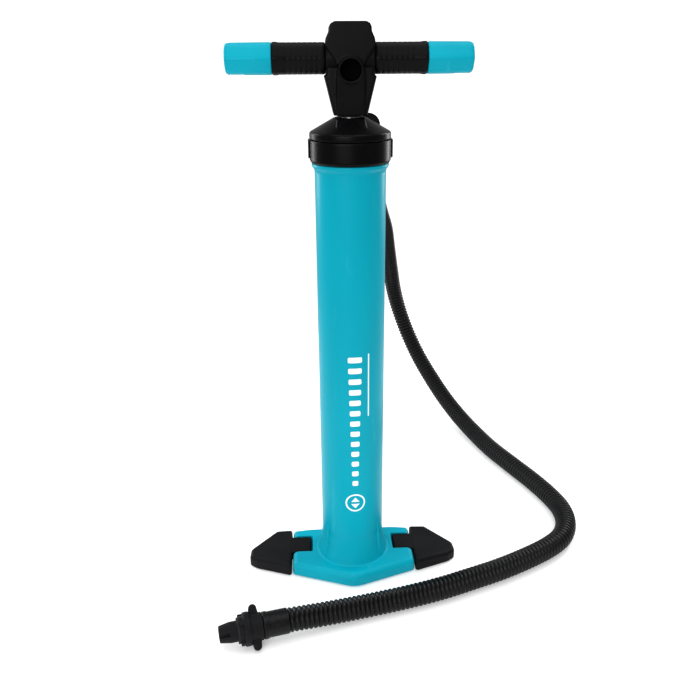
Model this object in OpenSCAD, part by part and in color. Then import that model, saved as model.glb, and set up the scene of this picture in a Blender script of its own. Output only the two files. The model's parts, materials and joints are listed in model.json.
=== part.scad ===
// Double action hand pump: a turquoise barrel on a folding base, a black T handle
// and a ribbed hose that ends in a bayonet nozzle.
// Millimetres. Origin on the floor under the barrel's axis, +Z up, front towards -Y.

/* [Barrel] */
// Outer diameter of the barrel tube
barrel_d = 75; // [60:1:95]
// Wall of the barrel tube
barrel_wall = 2.2; // [1.6:0.1:3]
// Height of the barrel's top edge above the floor
barrel_top = 514; // [430:1:620]
// Gap for the air between the barrel's wall and the liner
air_gap = 2.3; // [1.8:0.1:4]
// Wall of the liner that the piston runs in
liner_wall = 1.5; // [1:0.1:2]

/* [Piston] */
// Outer diameter of the piston rod
rod_d = 18; // [14:1:20]
// Wall of the piston rod
rod_wall = 2; // [1.2:0.1:3]
// Length of the piston body
piston_len = 24; // [20:1:30]

/* [Cap] */
// Distance that the cap and its screw ring stand out from the barrel
cap_wall = 4.7; // [4:0.1:8]
// Height of the screw ring
ring_h = 23; // [18:1:28]
// Height of the cap's straight band above the ring
cap_band = 6.8; // [4:0.2:10]
// Height of the cap's cone above that band
cone_h = 14.5; // [10:0.5:20]
// Width of the cap's flat top around the rod
cone_rim = 8; // [7:0.5:14]

/* [Base] */
// Distance that the fixed centre plate reaches out beside the barrel
plate_reach = 38.5; // [34:0.5:55]
// Height of the centre plate
plate_h = 18; // [16:1:24]
// Distance that the plate's rounded point reaches ahead of the barrel
nose_reach = 23.5; // [20:0.5:40]
// Length of a folding foot beyond the centre plate
foot_len = 55; // [45:1:75]
// Height of a folding foot
foot_h = 17; // [15:1:22]
// Diameter of a foot's hinge pin
hinge_pin_d = 5; // [4:0.5:6]
// Width of a foot's tongue
tongue_w = 30.4; // [24:0.2:34]
// Thickness of the rubber soles
sole_h = 1.2; // [0.8:0.1:2]

/* [Handle] */
// Length of the handle from end to end
handle_len = 247; // [200:1:300]
// Diameter of the grips
grip_d = 30; // [26:1:36]
// Diameter of the handle's arms inside the grips
arm_d = 22; // [18:1:24]
// Height of the handle's centreline above the cap with the pump closed
handle_rise = 55.9; // [54:0.1:90]
// Distance from the middle to where the black grips start
hub_half = 24.3; // [22:0.1:30]
// Distance from the middle to where the end grips start
end_grip_x = 77.4; // [60:0.1:95]
// Radius of the blind storage socket in the hub
socket_r = 10.5; // [8:0.5:11]
// Depth of the storage socket
socket_depth = 21; // [12:1:21]

/* [Hose] */
// Outer diameter of the hose
hose_d = 27; // [22:1:30]
// Radius of the nozzle's tip at its mouth
nozzle_tip_r = 8.6; // [7.5:0.1:10]
// Radius of the nozzle's straight plug behind the tip
nozzle_plug_r = 11.2; // [10.4:0.1:12]
// Radius of the nozzle's stop collar
nozzle_collar_r = 18.3; // [16:0.1:22]

/* [Fits] */
// Radial gap of a sliding or turning fit
run_gap = 0.05; // [0.03:0.01:0.1]
// Radial gap of parts that are pushed together and stay put
seat_gap = 0.02; // [0.01:0.01:0.05]
// Gap between parts that move past each other without touching
free_gap = 0.5; // [0.4:0.1:0.8]

/* [Hidden] */
$fn = 96;
hull_fn = 32;
teal = [0.07, 0.66, 0.74];
black = [0.1, 0.1, 0.11];
dark_rubber = [0.16, 0.16, 0.17];
nylon = [0.85, 0.85, 0.8];
silicone = [0.85, 0.4, 0.15];
metal = [0.72, 0.73, 0.75];

barrel_r = barrel_d / 2;
barrel_in = barrel_r - barrel_wall;
liner_r = barrel_in - air_gap;
liner_in = liner_r - liner_wall;
rod_r = rod_d / 2;
cap_r = barrel_r + cap_wall;
cone_top_r = rod_r + cone_rim;
hose_r = hose_d / 2;
floor_z = 8;

// Levels up the barrel
head_top = floor_z + 19;
spigot_top = head_top + 13;
port_z = spigot_top + 5;
piston_z = 60;
ring_z = barrel_top - 14;
cap_z = ring_z + ring_h + 0.3;
roof_z = cap_z + cap_band;
cap_top = roof_z + cone_h;
plug_z = ring_z - 2;
bushing_z = plug_z - 7;
top_port_z = bushing_z - 2;
bead_z = ring_z - 4;

// Base and feet
plate_half = barrel_r + plate_reach;
base_rear = barrel_r - 0.5;
base_nose = barrel_r + nose_reach;
base_half = plate_half + foot_len;
hinge_x = plate_half - 15.5;
hinge_z = plate_h - 5.5;
hinge_r = hinge_pin_d / 2;
tongue_y = 6;
knuckle_r = 7.5;
slot_gap = 0.8;
pocket_h = 2;
cover_screw_top = sole_h + 9;
socket_out = barrel_r + 6.1;
foot_inner = hinge_x + 17;

// Handle
arm_r = arm_d / 2;
grip_r = grip_d / 2;
handle_z = cap_top + handle_rise;
bumper_h = 2;
neck_z = cap_top + free_gap + bumper_h;
hub_z = handle_z - 16;
socket_z = handle_z - 10.5;
shell_front = 18.5;
shell_rear = 17;
boss_front = 22;
rod_top = handle_z - 25.5;
bolt_z = handle_z - 32.5;
crown_z = handle_z + 33.5;
hub_screws = [[-14.5, handle_z - 45], [14.5, handle_z - 45],
              [-15, handle_z + 22], [15, handle_z + 22]];

// Hose port on the cap, tilted a little down towards the back
port_x = 20;
port_y = cap_r - 2.2;
port_axis_z = cap_z + 6.7;
port_tilt = 12;
cuff_start = 27.2;
cuff_end = 48.1;

// Nozzle, lying on its collar in front of the base
nozzle_at = [-79, -134, 19];
nozzle_turn = 193.5;
ear_tilt = 42;
gasket_seat_r = nozzle_plug_r + 0.5;
cuff_len = 29;

// The hose's route behind the port's cuff, over the floor and up to the nozzle's cuff
HOSE_MIDDLE = [[22, 137, 509], [26, 187, 495], [32, 236, 477], [39, 283, 454],
    [48, 327, 427], [58, 368, 395], [69, 404, 360], [80, 438, 327], [88, 467, 286],
    [96, 489, 242], [104, 501, 199], [115, 499, 159], [130, 483, 119], [147, 456, 85],
    [166, 421, 57], [185, 380, 35], [203, 337, 21], [219, 291, 15], [235, 241, 13.5],
    [256, 188, 13.5], [275, 141, 13.5], [288, 101, 13.5], [294, 67, 13.5],
    [290, 35, 13.5], [276, 7, 13.5], [253, -14, 13.5], [220, -34, 13.5],
    [182, -53, 13.5], [143, -69, 13.5], [98, -86, 13.5], [50, -100, 13.5],
    [2, -112, 14], [-39, -123, 16]];
hose_start = [port_x, port_y + cuff_end * cos(port_tilt),
              port_axis_z - cuff_end * sin(port_tilt)];
drop_to = 20;
function share_of_drop(p) = max(0, p[2] - drop_to) / (520 - drop_to);
function carried_point(p) = [p[0], p[1] + (hose_start[1] - 87) * share_of_drop(p),
    max(hose_r, p[2] + (hose_start[2] - 520) * share_of_drop(p))];
HOSE = concat([hose_start], [for (p = HOSE_MIDDLE) carried_point(p)], [nozzle_at]);

// A tube about Z from z0 to z1
module tube(r_out, r_in, z0, z1) {
    translate([0, 0, z0]) difference() {
        cylinder(r = r_out, h = z1 - z0);
        translate([0, 0, -1]) cylinder(r = r_in, h = z1 - z0 + 2);
    }
}

// A solid of revolution about Z from its half outline
module turned(outline) {
    rotate_extrude() polygon(outline);
}

// A round puck with a rounded upper edge, for hulls
module puck(x, y, r, z0, z1, edge) {
    translate([x, y, z0]) rotate_extrude($fn = hull_fn)
        polygon(concat([[0, 0], [r, 0]],
            [for (a = [0:22.5:90]) [r - edge + edge * cos(a), z1 - z0 - edge + edge * sin(a)]],
            [[0, z1 - z0]]));
}

// A rod along X or Y, centred on a point
module rod_x(r, x0, x1, y, z) {
    translate([x0, y, z]) rotate([0, 90, 0]) cylinder(r = r, h = x1 - x0);
}
module rod_y(r, y0, y1, x, z) {
    translate([x, y0, z]) rotate([-90, 0, 0]) cylinder(r = r, h = y1 - y0);
}

// The plate's outline drawn in by a margin
module plate_outline(inset) {
    side = plate_half - inset;
    back = base_rear - inset;
    polygon([[side, back], [-side, back], [-side, -base_nose + 25 + inset / 2],
        [-12, -base_nose + 2 + inset], [12, -base_nose + 2 + inset],
        [side, -base_nose + 25 + inset / 2]]);
}

BASE_SCREWS = [for (s = [-1, 1]) [s * (plate_half - 12), base_rear - 8],
    for (s = [-1, 1]) [s * (plate_half - 18), 33 - base_nose]];
BARREL_SCREW_ANGLES = [50, 90, 130];

// Screws that hold the barrel in its socket, as cutters or as screws
module barrel_screw_set(shank_r, head_r) {
    for (a = BARREL_SCREW_ANGLES) rotate([0, 0, a]) {
        rod_x(shank_r, barrel_r - 8, barrel_r + 3.2, 0, floor_z + 14);
        rod_x(head_r, barrel_r + 3.2, socket_out + 1, 0, floor_z + 14);
    }
}

module base_plate() {
    color(teal) difference() {
        union() {
            hull() {
                for (s = [-1, 1]) {
                    puck(s * (plate_half - 4), base_rear - 4, 4, sole_h, plate_h, 3);
                    puck(s * (plate_half - 5), -base_nose + 30, 5, sole_h, plate_h, 3);
                }
                puck(0, -base_nose + 27, 27, sole_h, plate_h, 5);
            }
            translate([0, 0, sole_h]) cylinder(r = socket_out + 3, h = plate_h - sole_h - 0.5);
            turned([[0, floor_z], [socket_out, floor_z], [socket_out, plate_h + 2],
                [socket_out - 1.6, plate_h + 5], [socket_out - 3.4, plate_h + 12],
                [socket_out - 4.7, plate_h + 22], [socket_out - 5.3, plate_h + 34],
                [0, plate_h + 34]]);
            for (s = [-1, 1]) translate([s * (barrel_r + 1.5), 0, plate_h - 1])
                rotate([90, 0, 0]) translate([0, 0, -1.5]) linear_extrude(height = 3)
                polygon([[0, 0], [s * 5.5, 0], [s * 1.6, 28], [0, 46]]);
        }
        translate([0, 0, floor_z]) cylinder(r = barrel_r + seat_gap, h = 100);
        cylinder(r = 14, h = floor_z + 1);
        linear_extrude(height = sole_h + pocket_h) plate_outline(4);
        for (s = [-1, 1]) {
            translate([s > 0 ? hinge_x - knuckle_r - 2 : -plate_half - 10,
                tongue_y - tongue_w / 2 - slot_gap, sole_h + pocket_h + 1.2])
                cube([plate_half + 10 - hinge_x + knuckle_r + 2, tongue_w + 2 * slot_gap, 40]);
            rod_y(hinge_r + seat_gap, tongue_y - tongue_w / 2 - 12, base_rear + 1,
                s * hinge_x, hinge_z);
        }
        for (p = BASE_SCREWS) translate([p[0], p[1], 0])
            cylinder(r = 1.6, h = cover_screw_top + free_gap);
        barrel_screw_set(1.65, 3.4);
    }
}

module base_cover() {
    color(black) translate([0, 0, sole_h]) difference() {
        linear_extrude(height = pocket_h) plate_outline(4.2);
        for (a = [0:45:315]) rotate([0, 0, a]) translate([10, 0, -1]) cylinder(r = 2.5, h = 10);
        for (p = BASE_SCREWS) translate([p[0], p[1], -1]) {
            cylinder(r = 1.8, h = 10);
            cylinder(r = 3.3, h = 2.2);
        }
    }
}

module base_cover_screws() {
    color(metal) for (p = BASE_SCREWS) translate([p[0], p[1], 0]) {
        translate([0, 0, sole_h + 0.1]) cylinder(r = 3, h = 1.1);
        translate([0, 0, sole_h + 1]) cylinder(r = 1.55, h = cover_screw_top - sole_h - 1);
    }
}

module base_soles() {
    color(dark_rubber) {
        cylinder(r = 6, h = sole_h);
        for (s = [-1, 1]) {
            translate([s * (plate_half - 34), base_rear - 13, 0]) cylinder(r = 8, h = sole_h);
            translate([s * (plate_half - 46), 25 - base_nose, 0]) cylinder(r = 8, h = sole_h);
        }
    }
}

module barrel_screws() {
    color(metal) for (a = BARREL_SCREW_ANGLES) rotate([0, 0, a]) {
        rod_x(1.6, barrel_r - 7, barrel_r + 3.4, 0, floor_z + 14);
        rod_x(3, barrel_r + 3.3, barrel_r + 5.2, 0, floor_z + 14);
    }
}

// The right foot with its tongue; the left one is its mirror image
module foot_right_shape() {
    difference() {
        union() {
            hull() {
                puck(foot_inner + 3, base_rear - 1.5, 3, sole_h, foot_h, 2);
                puck(foot_inner + 3, -base_nose + 29, 3, sole_h, foot_h, 2);
                puck(base_half - 35, base_rear - 3.5, 5, sole_h, foot_h, 2.5);
                puck(base_half - 8, 0, 7, sole_h, foot_h - 1.5, 4);
                puck(base_half - 8, -9, 7.5, sole_h, foot_h - 2, 4);
                puck(base_half - 14, -13, 8, sole_h, foot_h - 2, 4);
            }
            intersection() {
                hull() {
                    rod_y(knuckle_r, tongue_y - tongue_w / 2, tongue_y + tongue_w / 2,
                        hinge_x, hinge_z);
                    translate([foot_inner + 2, tongue_y - tongue_w / 2, hinge_z - knuckle_r])
                        cube([3, tongue_w, 2 * knuckle_r]);
                }
                translate([0, -100, 0]) cube([300, 200, foot_h - 0.4]);
            }
        }
        rod_y(hinge_r + run_gap, tongue_y - tongue_w, tongue_y + tongue_w, hinge_x, hinge_z);
        translate([foot_inner - 10, tongue_y - 60, -1])
            cube([10, 60 - tongue_w / 2, 30]);
        translate([foot_inner - 10, tongue_y + tongue_w / 2, -1]) cube([10, 60, 30]);
    }
}

module foot_right() {
    color(black) foot_right_shape();
}

module foot_left() {
    color(black) mirror([1, 0, 0]) foot_right_shape();
}

module foot_sole_shape() {
    linear_extrude(height = sole_h) polygon([[foot_inner + 3, -base_nose + 30],
        [foot_inner + 3, base_rear - 3], [base_half - 35, base_rear - 5],
        [base_half - 6, 0], [base_half - 6, -9], [base_half - 14, -17]]);
}

module foot_sole_right() {
    color(dark_rubber) foot_sole_shape();
}

module foot_sole_left() {
    color(dark_rubber) mirror([1, 0, 0]) foot_sole_shape();
}

module hinge_pin_shape(s) {
    color(metal) rod_y(hinge_r, tongue_y - tongue_w / 2 - 11, base_rear - 2,
        s * hinge_x, hinge_z);
}

module barrel_tube() {
    color(teal) difference() {
        turned([[0, floor_z], [barrel_r, floor_z], [barrel_r, bead_z - 3],
            [barrel_r + 2.9, bead_z + 1], [barrel_r + 2.9, bead_z + 3.6],
            [barrel_r, bead_z + 3.8], [barrel_r, barrel_top], [0, barrel_top]]);
        translate([0, 0, floor_z - 1]) cylinder(r = barrel_in, h = barrel_top);
        barrel_screw_set(1.65, 1.65);
    }
}

module liner_tube() {
    color(nylon) difference() {
        tube(liner_r, liner_in, head_top, barrel_top - 4);
        for (a = [0:45:315]) rotate([0, 0, a]) {
            rod_x(2.2, liner_in - 4, liner_r + 4, 0, port_z);
            rod_x(2.2, liner_in - 4, liner_r + 4, 0, top_port_z);
        }
    }
}

module bottom_head() {
    color(black) difference() {
        turned([[0, floor_z], [barrel_in - 0.1, floor_z],
            [barrel_in - 0.1, floor_z + 5], [barrel_in - 1.9, floor_z + 5],
            [barrel_in - 1.9, floor_z + 8], [barrel_in - 0.1, floor_z + 8],
            [barrel_in - 0.1, head_top], [liner_in - seat_gap, head_top],
            [liner_in - seat_gap, spigot_top], [0, spigot_top]]);
        translate([0, 0, floor_z - 1]) cylinder(r = 2.3, h = 60);
        difference() {
            translate([0, 0, floor_z - 1]) cylinder(r = 12, h = 60);
            cylinder(r = 5, h = 60);
            for (a = [0, 90]) rotate([0, 0, a]) translate([-13, -1.5, head_top])
                cube([26, 3, spigot_top - head_top - 1]);
            for (a = [0, 90]) rotate([0, 0, a]) translate([-13, -1.5, floor_z - 2])
                cube([26, 3, 12]);
        }
        barrel_screw_set(1.65, 1.65);
    }
}

module bottom_head_seal() {
    color(dark_rubber) turned([[barrel_in - 1.85, floor_z + 5.2],
        [barrel_in - 0.02, floor_z + 5.2], [barrel_in - 0.02, floor_z + 7.8],
        [barrel_in - 1.85, floor_z + 7.8]]);
}

module inlet_valve_base() {
    color(silicone) turned([[0, floor_z + 12], [2.2, floor_z + 12],
        [2.2, spigot_top + 0.4], [15, spigot_top + 0.4], [15, spigot_top + 2.2],
        [4, spigot_top + 2.8], [0, spigot_top + 2.8]]);
}

// Rubber bands that close the ports in the liner
module check_band(z) {
    color(silicone) tube(liner_r + 0.9, liner_r + seat_gap, z - 7, z + 7);
}

module lug() {
    hull() for (y = [-6, 6]) translate([cap_r - 2, y, ring_z + 5])
        cylinder(r = 3.6, h = ring_h - 5, $fn = hull_fn);
}

module cap_ring() {
    color(black) difference() {
        union() {
            turned([[0, ring_z], [cap_r - 1.4, ring_z], [cap_r, ring_z + 2.4],
                [cap_r, ring_z + ring_h - 0.6], [cap_r - 0.6, ring_z + ring_h],
                [0, ring_z + ring_h]]);
            for (a = [0, 180]) rotate([0, 0, a]) lug();
        }
        translate([0, 0, ring_z - 1]) cylinder(r = barrel_r + 0.3, h = 60);
        for (z = [ring_z + 4, ring_z + 8]) translate([0, 0, z])
            cylinder(r = barrel_r + 1.2, h = 1.6);
    }
}

// The inlet holes through the cap's roof, behind the neck
module cap_vents(r) {
    for (a = [100, 130, 160]) rotate([0, 0, a]) translate([23, 0, plug_z - 1])
        cylinder(r = r, h = 80);
}

// A shape along the hose port's axis, from a to b along it
module on_port(a) {
    translate([port_x, port_y, port_axis_z]) rotate([-90 - port_tilt, 0, 0])
        translate([0, 0, a]) children();
}

module cap_body() {
    color(black) difference() {
        union() {
            turned([[0, plug_z], [liner_in - run_gap, plug_z],
                [liner_in - run_gap, barrel_top + 2], [barrel_r - 0.3, barrel_top + 2],
                [barrel_r - 0.3, cap_z - 0.1], [barrel_r - 0.3, cap_z], [cap_r - 0.8, cap_z],
                [cap_r, cap_z + 0.8], [cap_r, roof_z - 0.8], [cap_r - 0.7, roof_z + 0.4],
                [cone_top_r + 0.5, cap_top - 0.6], [cone_top_r - 0.8, cap_top],
                [0, cap_top]]);
            hull() for (s = [-1, 1]) {
                translate([s * 13, -16, cap_z + 4]) cylinder(r = 1.2, h = cap_top - cap_z - 4.2,
                    $fn = hull_fn);
                translate([s * 14.5, -cap_r + 8, cap_z + 4]) cylinder(r = 1.2,
                    h = roof_z - cap_z - 2.5, $fn = hull_fn);
            }
            difference() {
                on_port(-24) cylinder(r = 12.5, h = 29);
                translate([0, 0, cap_z - 60]) cylinder(r = 90, h = 60);
            }
        }
        translate([0, 0, plug_z - 1]) cylinder(r = rod_r + 3 + seat_gap, h = 100);
        translate([0, 0, cap_top - 4.4]) cylinder(r = rod_r + 4.6, h = 10);
        on_port(-15) cylinder(r = 8, h = 40);
        translate([port_x, port_y - 14, plug_z - 1])
            cylinder(r = 3, h = port_axis_z - plug_z + 2);
        cap_vents(2.6);
    }
}

module cap_gasket() {
    color(dark_rubber) tube(barrel_r - 0.4, liner_r + 1.2, barrel_top, barrel_top + 2);
}

module rod_bushing() {
    color(nylon) difference() {
        turned([[0, bushing_z], [rod_r + 5.5, bushing_z], [rod_r + 5.5, bushing_z + 2.6],
            [rod_r + 3, bushing_z + 2.6], [rod_r + 3, cap_top - 4.6],
            [0, cap_top - 4.6]]);
        translate([0, 0, bushing_z - 1]) cylinder(r = rod_r + run_gap, h = 100);
    }
}

module rod_wiper() {
    color(dark_rubber) tube(rod_r + 4.5, rod_r + run_gap, cap_top - 4.4, cap_top - 0.4);
}

module inlet_valve_cap() {
    color(silicone) tube(liner_in - 4, rod_r + 3.4, bushing_z + 2.9, bushing_z + 4.7);
}

module hose_port() {
    color(black) difference() {
        union() {
            on_port(5.2) cylinder(r = 12.5, h = 5.6);
            on_port(5.2) cylinder(r = 10, h = 22);
        }
        on_port(0) cylinder(r = 7, h = 60);
    }
}

module hose_nut() {
    color(black) difference() {
        union() {
            on_port(11) cylinder(r = 15.5, h = 15);
            for (a = [0:30:330]) on_port(11.5) rotate([0, 0, a]) translate([15.2, 0, 0])
                cylinder(r = 1, h = 14, $fn = 16);
        }
        on_port(0) cylinder(r = 10 + seat_gap, h = 60);
    }
}

module hose_cuff() {
    color(dark_rubber) difference() {
        on_port(cuff_start) turned([[0, 0], [hose_r + 0.9, 0], [hose_r + 1.4, 1.5],
            [hose_r + 1.1, 12], [hose_r + 0.5, 20], [hose_r + 0.3, cuff_end - cuff_start],
            [0, cuff_end - cuff_start]]);
        on_port(0) cylinder(r = 8.5, h = 60);
    }
}

// A tube swept along points, with a ring of sides at each point
function unit(v) = v / norm(v);
function heading(p, i) = unit(p[min(i + 1, len(p) - 1)] - p[max(i - 1, 0)]);
function square_to(u, d) = unit(u - (u * d) * d);
function carried(dirs, i, u) = i == len(dirs) ? [] :
    let (s = square_to(u, dirs[i])) concat([s], carried(dirs, i + 1, s));
function ring_at(p, d, u, r, n) = let (v = cross(d, u))
    [for (k = [0:n - 1]) p + r * (cos(360 * k / n) * u + sin(360 * k / n) * v)];

module swept_tube(path, dirs, r, n) {
    m = len(path);
    sides = carried(dirs, 0, [1, 0, 0]);
    points = [for (i = [0:m - 1]) for (q = ring_at(path[i], dirs[i], sides[i], r, n)) q];
    walls = [for (i = [0:m - 2]) for (k = [0:n - 1]) let (j = (k + 1) % n)
        [i * n + k, i * n + j, (i + 1) * n + j, (i + 1) * n + k]];
    polyhedron(points = points, faces = concat(walls,
        [[for (k = [n - 1:-1:0]) k]], [[for (k = [0:n - 1]) (m - 1) * n + k]]));
}

module hose_tube() {
    last = len(HOSE) - 1;
    start_dir = [0, cos(port_tilt), -sin(port_tilt)];
    end_dir = [cos(nozzle_turn), sin(nozzle_turn), 0];
    dirs = [for (i = [0:last]) i == 0 ? start_dir : i == last ? end_dir : heading(HOSE, i)];
    color(dark_rubber) swept_tube(HOSE, dirs, hose_r, 12);
}

// The nozzle's pieces are drawn along +X from the hose's end
module on_nozzle() {
    translate(nozzle_at) rotate([0, 0, nozzle_turn]) children();
}
module along_x(outline) {
    rotate([0, 90, 0]) rotate_extrude() polygon(outline);
}

module nozzle_cuff() {
    color(dark_rubber) on_nozzle() difference() {
        along_x([[0, 0], [hose_r + 0.3, 0], [hose_r + 0.5, 2], [hose_r + 0.5, 24],
            [hose_r + 1.3, 25], [hose_r + 1.3, 28], [hose_r + 0.7, cuff_len], [0, cuff_len]]);
        rod_x(9.6, -1, 60, 0, 0);
    }
}

module nozzle_body() {
    color(black) on_nozzle() rotate([-ear_tilt, 0, 0]) difference() {
        union() {
            along_x([[0, 12], [9.6 - run_gap, 12], [9.6 - run_gap, cuff_len + free_gap],
                [15, cuff_len + free_gap],
                [15.4, 43], [nozzle_collar_r - 0.8, 43], [nozzle_collar_r, 44],
                [nozzle_collar_r, 49], [nozzle_collar_r - 1.2, 50.2], [14.5, 50.2],
                [14.5, 55], [gasket_seat_r, 55], [gasket_seat_r, 57], [nozzle_plug_r, 57],
                [nozzle_plug_r, 65],
                [nozzle_tip_r + 0.6, 76], [nozzle_tip_r, 77], [0, 77]]);
            for (s = [-1, 1]) hull() {
                translate([37.5, s * 12, -3.4]) cylinder(r = 5.5, h = 6.8, $fn = hull_fn);
                translate([37.5, s * 20, -3]) cylinder(r = 4.5, h = 6, $fn = hull_fn);
            }
            for (a = [20, 110, 200, 290]) rotate([a, 0, 0]) translate([49, 12, -3])
                cube([5.8, 5.4, 6]);
        }
        rod_x(6.2, -1, 100, 0, 0);
        for (a = [70, 250]) rotate([a, 0, 0]) {
            translate([65.5, 7.5, -2]) cube([6, 6, 4]);
            translate([69.5, 7.5, -2]) cube([20, 6, 2.6]);
        }
    }
}

module nozzle_gasket() {
    color(silicone) on_nozzle() rotate([-ear_tilt, 0, 0])
        along_x([[gasket_seat_r, 55.1], [gasket_seat_r + 2.2, 55.1],
            [gasket_seat_r + 2.2, 56.8], [gasket_seat_r, 56.8]]);
}

// The hub, neck and arms as one solid, before it is split into two shells
module handle_solid() {
    crown = [[-15.3, crown_z], [-18.8, crown_z - 1.8], [-20.5, crown_z - 5],
        [-20.7, crown_z - 9], [-23.6, crown_z - 15], [-hub_half, crown_z - 19],
        [-hub_half, handle_z + 11], [-16, handle_z], [-13.5, handle_z - 6]];
    mirrored = [for (i = [len(crown) - 1:-1:0]) [-crown[i][0], crown[i][1]]];
    difference() {
        union() {
            translate([0, shell_rear, 0]) rotate([90, 0, 0])
                linear_extrude(height = shell_rear + shell_front)
                polygon(concat(crown, mirrored));
            rod_x(grip_r + 0.4, -hub_half, hub_half, 0, handle_z);
            rod_x(arm_r, -handle_len / 2 + 5, handle_len / 2 - 5, 0, handle_z);
            hull() for (s = [-1, 1]) for (y = [-13, 12]) {
                translate([s * 13.5, y, neck_z]) cylinder(r = 3.5, h = 1, $fn = hull_fn);
                translate([s * 22.5, y, hub_z - 1]) cylinder(r = 3.5, h = 1, $fn = hull_fn);
            }
            hull() for (s = [-1, 1]) for (y = [-13, 12])
                translate([s * (hub_half - 3.5), y, hub_z - 1])
                    cylinder(r = 3.5, h = 9, $fn = hull_fn);
            hull() {
                for (s = [-1, 1]) translate([s * 13, -15.5, neck_z])
                    cylinder(r = 1.2, h = 1, $fn = hull_fn);
                for (s = [-1, 1]) translate([s * 13, -boss_front + 3, socket_z - 9])
                    cylinder(r = 1.2, h = 9, $fn = hull_fn);
            }
            rod_y(socket_r + 2.2, -boss_front, 0, 0, socket_z);
        }
        rod_y(socket_r, -boss_front - 1, -boss_front + socket_depth, 0, socket_z);
        translate([0, 0, neck_z - 10]) cylinder(r = rod_r + seat_gap, h = rod_top - neck_z + 10.1);
        rod_x(2.5 + seat_gap, -40, 40, 0, bolt_z);
        for (s = [-1, 1]) rod_x(4.6, s > 0 ? 18.5 : -38.5, s > 0 ? 38.5 : -18.5, 0, bolt_z);
        for (p = hub_screws) {
            rod_y(1.6, -9, 40, p[0], p[1]);
            rod_y(3.4, 12, 40, p[0], p[1]);
        }
    }
}

module handle_shell_front() {
    color(black) intersection() {
        handle_solid();
        translate([-200, -100, 0]) cube([400, 100, 900]);
    }
}

module handle_shell_rear() {
    color(black) intersection() {
        handle_solid();
        translate([-200, 0, 0]) cube([400, 100, 900]);
    }
}

module handle_screws() {
    color(metal) for (p = hub_screws) {
        rod_y(1.55, -8, 12.4, p[0], p[1]);
        rod_y(3.1, 12.2, 14.6, p[0], p[1]);
    }
}

module grip_shape() {
    inner = hub_half + 0.3;
    outer = end_grip_x - 0.2;
    rotate([0, 90, 0]) rotate_extrude() polygon([[arm_r + seat_gap, inner],
        [grip_r - 0.6, inner], [grip_r, inner + 2], [grip_r, outer - 6],
        [grip_r + 0.6, outer - 4], [grip_r + 0.6, outer - 1.2], [grip_r - 0.4, outer],
        [arm_r + seat_gap, outer]]);
}

module end_grip_shape() {
    end = handle_len / 2;
    rotate([0, 90, 0]) rotate_extrude() polygon([[0, end - 4.6], [0, end],
        [grip_r - 4, end], [grip_r - 1.4, end - 1.2], [grip_r, end - 4.5],
        [grip_r + 0.3, end_grip_x + 1], [grip_r - 0.3, end_grip_x],
        [arm_r + seat_gap, end_grip_x], [arm_r + seat_gap, end - 4.6]]);
}

module at_handle(s) {
    translate([0, 0, handle_z]) mirror([s < 0 ? 1 : 0, 0, 0]) children();
}

module rod_tube() {
    color(metal) difference() {
        tube(rod_r, rod_r - rod_wall, piston_z + 6, rod_top);
        rod_x(2.5 + seat_gap, -40, 40, 0, bolt_z);
    }
}

module rod_cross_bolt() {
    color(metal) {
        rod_x(2.5, -17.9, 17.9, 0, bolt_z);
        for (s = [-1, 1]) rod_x(4.4, s > 0 ? 18.6 : -21, s > 0 ? 21 : -18.6, 0, bolt_z);
        for (s = [-1, 1]) rod_x(2.5, s > 0 ? 17.8 : -18.7, s > 0 ? 18.7 : -17.8, 0, bolt_z);
    }
}

module rod_insert() {
    color(nylon) tube(rod_r - rod_wall - seat_gap, 4 + seat_gap, piston_z + 6, piston_z + 38);
}

module piston() {
    top = piston_z + piston_len;
    out = liner_in - free_gap;
    groove = liner_in - 4;
    color(black) difference() {
        turned([[0, piston_z], [out, piston_z], [out, piston_z + 4], [groove, piston_z + 4],
            [groove, piston_z + 8.6], [out, piston_z + 8.6], [out, top - 8.6],
            [groove, top - 8.6], [groove, top - 4], [out, top - 4], [out, top], [0, top]]);
        translate([0, 0, piston_z + 6]) cylinder(r = rod_r + seat_gap, h = 60);
        translate([0, 0, piston_z - 1]) cylinder(r = 4 + seat_gap, h = 60);
    }
}

module piston_ring(z) {
    color(dark_rubber) tube(liner_in - run_gap, liner_in - 4 + run_gap, z + 0.3, z + 4.3);
}

module piston_bolt() {
    color(metal) {
        translate([0, 0, piston_z - 6]) cylinder(r = 7.5, h = 5.8, $fn = 6);
        translate([0, 0, piston_z - 1]) cylinder(r = 4, h = 36);
    }
}

module piston_bumper() {
    top = piston_z + piston_len;
    color(dark_rubber) tube(rod_r + 7, rod_r + run_gap, top, top + 6);
}

module neck_bumper() {
    color(dark_rubber) tube(rod_r + 4, rod_r + run_gap, neck_z - bumper_h, neck_z);
}

base_plate();
base_cover();
base_cover_screws();
base_soles();
barrel_screws();
foot_left();
foot_right();
foot_sole_left();
foot_sole_right();
hinge_pin_shape(-1);  // hinge_pin_left
hinge_pin_shape(1);  // hinge_pin_right
barrel_tube();
liner_tube();
bottom_head();
bottom_head_seal();
inlet_valve_base();
check_band(port_z);  // check_band_lower
check_band(top_port_z);  // check_band_upper
cap_ring();
cap_body();
cap_gasket();
rod_bushing();
rod_wiper();
inlet_valve_cap();
hose_port();
hose_nut();
hose_cuff();
hose_tube();
nozzle_cuff();
nozzle_body();
nozzle_gasket();
handle_shell_front();
handle_shell_rear();
handle_screws();
color(black) at_handle(-1) grip_shape();  // grip_left
color(black) at_handle(1) grip_shape();  // grip_right
color(teal) at_handle(-1) end_grip_shape();  // end_grip_left
color(teal) at_handle(1) end_grip_shape();  // end_grip_right
rod_tube();
rod_cross_bolt();
rod_insert();
piston();
piston_ring(piston_z + 4);  // piston_ring_lower
piston_ring(piston_z + piston_len - 8.6);  // piston_ring_upper
piston_bolt();
piston_bumper();
neck_bumper();
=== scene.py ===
import json
import math

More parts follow.
